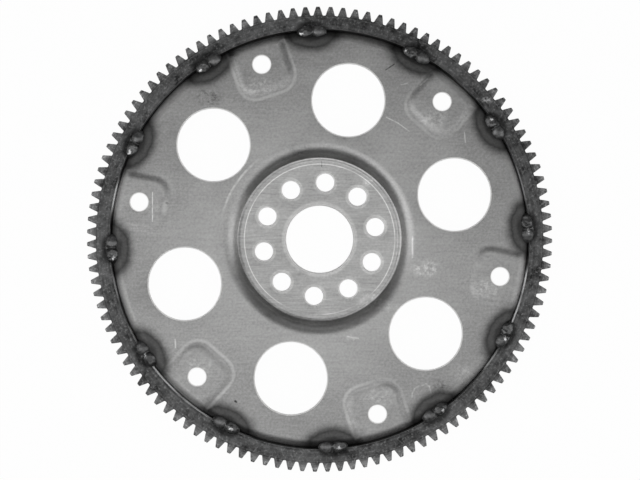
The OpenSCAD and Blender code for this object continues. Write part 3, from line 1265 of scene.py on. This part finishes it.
@dataclass
class WeldBead(SolidSkin):
    """One stitch weld: a smooth lobe with a tail, and a sunken, rougher lobe where the arc started."""

    index: int = 0
    slot: Slot = Slot.WELD_STEEL
    voxel: float = 0.28 * MM
    smoothing: int = 4
    bed_height: float = 10.9 * MM
    smooth_lobe: Lobe = Lobe(4.9 * MM, 4.4 * MM, 5.4 * MM)
    rough_lobe: Lobe = Lobe(-4.4 * MM, 5.1 * MM, 5.6 * MM)
    # Shares of the height above the bed
    lump: float = 0.18
    groove: float = 0.80
    tail: float = 0.55
    crater: float = 0.22
    crown: float = 0.16
    sink: float = 0.04
    deepest: float = 0.95
    lump_scale: float = 320.0
    lump_seed: Pair = (3.1, 1.7)
    # Fall-off, step of scale and number of the lumps' layers
    lump_layers: tuple[float, float, int] = (1.0, 2.0, 2)
    tail_width: float = 1.5 * MM
    tail_length: float = 4.0 * MM
    crater_reach: float = 0.45
    # Where the painted glint lies on each bead: clockwise along the rim and away from the axis, millimetres
    glints: tuple[Pair, ...] = (
        (-7.2, -0.4), (-6.5, -1.2), (-6.4, -1.4), (-5.8, 0.6), (-5.9, -0.6), (0.0, 0.5),
        (-3.4, 0.7), (-4.0, 0.9), (-4.6, 1.7), (2.1, 1.3), (2.1, 0.5), (-4.7, 0.8),
    )

    def middle(self) -> Vector:
        """Gives the middle of the bead's box."""
        low, high = (Vector(corner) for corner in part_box(self.node.name))
        return (low + high) / 2

    def spot(self, along: float, across: float) -> Vector:
        """Gives a place on the bead.

        Args:
            along: Distance from the bead's middle, clockwise along the rim.
            across: Distance from the bead's middle away from the axis.

        Returns:
            The place.
        """
        middle = self.middle()
        reach = middle.to_2d().length
        return Matrix.Rotation(-along / reach, 3, "Z") @ (middle * ((reach + across) / reach))

    def lobe(self) -> Vector:
        """Gives the middle of the smooth lobe, on the bead's clockwise side."""
        return self.spot(self.smooth_lobe.along, 0.0)

    def glint(self) -> Vector:
        """Gives the place of the bead's painted glint."""
        along, across = self.glints[self.index % len(self.glints)]
        return self.spot(along * MM, across * MM)

    def finish_form(self, piece: bpy.types.Object) -> None:
        """Gives the bead an even skin of small faces and shapes it.

        Args:
            piece: The bead's object.
        """
        modifier = piece.modifiers.new("skin", "REMESH")
        modifier.mode = "VOXEL"
        modifier.voxel_size = self.voxel
        shaped = piece.evaluated_get(bpy.context.evaluated_depsgraph_get())
        mesh = bpy.data.meshes.new_from_object(shaped)
        piece.modifiers.clear()
        piece.data = mesh
        mesh.name = piece.name
        self.shape(mesh)
        mesh.shade_smooth()

    def shape(self, mesh: bpy.types.Mesh) -> None:
        """Smooths the skin and presses the lobes and the crater into its free side.

        Args:
            mesh: The bead's mesh.
        """
        bm = bmesh.new()
        bm.from_mesh(mesh)
        for _ in range(self.smoothing):
            bmesh.ops.smooth_vert(bm, verts=bm.verts, factor=0.5, use_axis_x=True, use_axis_y=True, use_axis_z=True)
        middle = self.middle()
        reach = middle.to_2d().length
        turn = Matrix.Rotation(-math.atan2(middle.y, middle.x), 3, "Z")
        for vertex in bm.verts:
            local = turn @ vertex.co
            along = -math.atan2(local.y, local.x) * reach
            drop = self.relief(along, local.to_2d().length - reach, vertex.co)
            vertex.co.z -= drop * max(vertex.co.z - self.bed_height, 0.0)
        bm.to_mesh(mesh)
        bm.free()

    def relief(self, along: float, across: float, place: Vector) -> float:
        """Gives how far the skin is pressed down at a point, as a share of its height above the bed.

        Args:
            along: Distance from the bead's middle, clockwise along the rim.
            across: Distance from the bead's middle away from the axis.
            place: The point itself, for the lumps.

        Returns:
            The share, 0 at least.
        """
        smooth, rough = self.smooth_lobe.cover(along, across), self.rough_lobe.cover(along, across)
        seed = Vector((*(self.index * step for step in self.lump_seed), 0.0))
        lump = noise.fractal(place * self.lump_scale + seed, *self.lump_layers) * self.lump * rough
        tail = self.tail * bell(across, self.tail_width) * bell(along, self.tail_length)
        groove = self.groove * (1.0 - max(smooth, rough)) * (1.0 - tail)
        crown = self.crown * smooth * min(self.smooth_lobe.away(along, across), 1.0) ** 2
        crater = self.crater * bell(self.rough_lobe.away(along, across), self.crater_reach)
        return min(max(groove + crown + crater - lump + self.sink, 0.0), self.deepest)


@dataclass
class Softbox:
    """An area lamp placed along the photograph's axes."""

    name: str
    place: Triple
    size: Pair
    power: float

    def build(self) -> bpy.types.Object:
        """Hangs the lamp, facing the part.

        Returns:
            The lamp's object.
        """
        light = bpy.data.lights.new(self.name, "AREA")
        light.shape = "RECTANGLE"
        light.size, light.size_y = self.size
        light.energy = self.power
        lamp = bpy.data.objects.new(self.name, light)
        lamp.location = photo_axes(*self.place)
        lamp.rotation_euler = lamp.location.to_track_quat("Z", "Y").to_euler()
        lamp.visible_camera = False
        bpy.context.scene.collection.objects.link(lamp)
        return lamp


@dataclass
class Studio:
    """Pale floor, soft light, and the camera that looks straight down on the part."""

    camera_height: float = 1.5
    front_height: float = 11.0 * MM
    sensor: float = 36.0
    framing: Pair = (0.25 * MM, -0.49 * MM)
    floor_size: float = 6.0
    floor_grey: float = 0.86
    floor_glow: float = 0.975
    world_grey: float = 0.085
    lamps: tuple[Softbox, ...] = (
        Softbox("overhead_box", (-0.06, -0.33, 1.55), (2.5, 1.42), 11.0),
        Softbox("lower_left_box", (-0.62, -0.42, 1.50), (0.7, 0.7), 1.3),
        Softbox("upper_box", (0.0, 1.35, 1.05), (1.8, 0.7), 1.5),
        Softbox("left_strip", (-1.0, -0.10, 0.78), (0.7, 0.9), 3.4),
        Softbox("right_strip", (1.05, -0.10, 0.62), (0.6, 1.1), 3.7),
    )

    def build(self) -> None:
        """Sets up light, floor and camera."""
        self.world()
        self.floor()
        for lamp in self.lamps:
            lamp.build()
        self.camera()

    def world(self) -> None:
        """Gives the room an even grey light."""
        world = bpy.data.worlds.new("studio_room")
        world.use_nodes = True
        shade = world.node_tree.nodes["Background"]
        shade.inputs["Color"].default_value = (self.world_grey, self.world_grey, self.world_grey, 1.0)
        shade.inputs["Strength"].default_value = 1.0
        bpy.context.scene.world = world

    def floor(self) -> bpy.types.Object:
        """Lays the floor.

        Returns:
            The floor's object.
        """
        mesh = bpy.data.meshes.new("studio_floor")
        bm = bmesh.new()
        bmesh.ops.create_grid(bm, x_segments=1, y_segments=1, size=self.floor_size / 2)
        bm.to_mesh(mesh)
        bm.free()
        floor = bpy.data.objects.new("studio_floor", mesh)
        bpy.context.scene.collection.objects.link(floor)
        dress(floor, self.floor_material())
        return floor

    def floor_material(self) -> Material:
        """Makes a pale floor that shows white to the camera and keeps a faint shadow.

        Returns:
            The floor's material.
        """
        material = bpy.data.materials.new("studio_floor")
        material.use_nodes = True
        tree = material.node_tree
        sheet = NodeSheet(tree)
        tree.nodes.remove(tree.nodes["Principled BSDF"])
        matte = sheet.add("ShaderNodeBsdfDiffuse")
        matte.inputs["Color"].default_value = (self.floor_grey, self.floor_grey, self.floor_grey, 1.0)
        glow = sheet.add("ShaderNodeEmission")
        glow.inputs["Strength"].default_value = 1.0
        path = sheet.add("ShaderNodeLightPath").outputs
        mirrored = sheet.math("MAXIMUM", path["Is Glossy Ray"], path["Is Transmission Ray"])
        seen = sheet.math("MAXIMUM", path["Is Camera Ray"], mirrored)
        mix = sheet.add("ShaderNodeMixShader")
        sheet.feed(mix.inputs[0], sheet.product(seen, self.floor_glow))
        sheet.feed(mix.inputs[1], matte.outputs[0])
        sheet.feed(mix.inputs[2], glow.outputs[0])
        sheet.feed(tree.nodes["Material Output"].inputs["Surface"], mix.outputs[0])
        return material

    def camera(self) -> bpy.types.Object:
        """Hangs the camera over the part, turned as the photograph is.

        Returns:
            The camera's object.
        """
        data = bpy.data.cameras.new("photo_camera")
        data.sensor_width = self.sensor
        data.lens = self.sensor * self.camera_height / (PHOTO_WIDTH * PIXEL)
        camera = bpy.data.objects.new("photo_camera", data)
        camera.location = photo_axes(*self.framing, self.camera_height + self.front_height)
        camera.rotation_euler = (0.0, 0.0, math.radians(PHOTO_TURN))
        bpy.context.scene.collection.objects.link(camera)
        bpy.context.scene.camera = camera
        return camera


def main() -> None:
    """Builds every piece, then the studio, and logs each piece's name."""
    logging.basicConfig(level=logging.INFO, format="%(name)s: %(message)s")
    bpy.context.scene.view_settings.view_transform = "Standard"
    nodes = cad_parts
    names = sorted(name for name in nodes if name.startswith("weld_bead"))
    beads = [WeldBead(nodes[name], index=index) for index, name in enumerate(names)]
    shelf = build_shelf([bead.middle() for bead in beads], [bead.lobe() for bead in beads],
                        [bead.glint() for bead in beads])
    plate = DrivePlate(nodes["drive_plate"]).build(SheetSteel(shelf).build())
    log.info("built %s", plate.name)
    ring = RingGear(nodes["ring_gear"]).build(RingSteel(shelf).build())
    log.info("built %s", ring.name)
    weld_steel = WeldSteel(shelf).build()
    for bead in beads:
        log.info("built %s", bead.build(weld_steel).name)
    Studio().build()


if __name__ == "__main__":
    main()
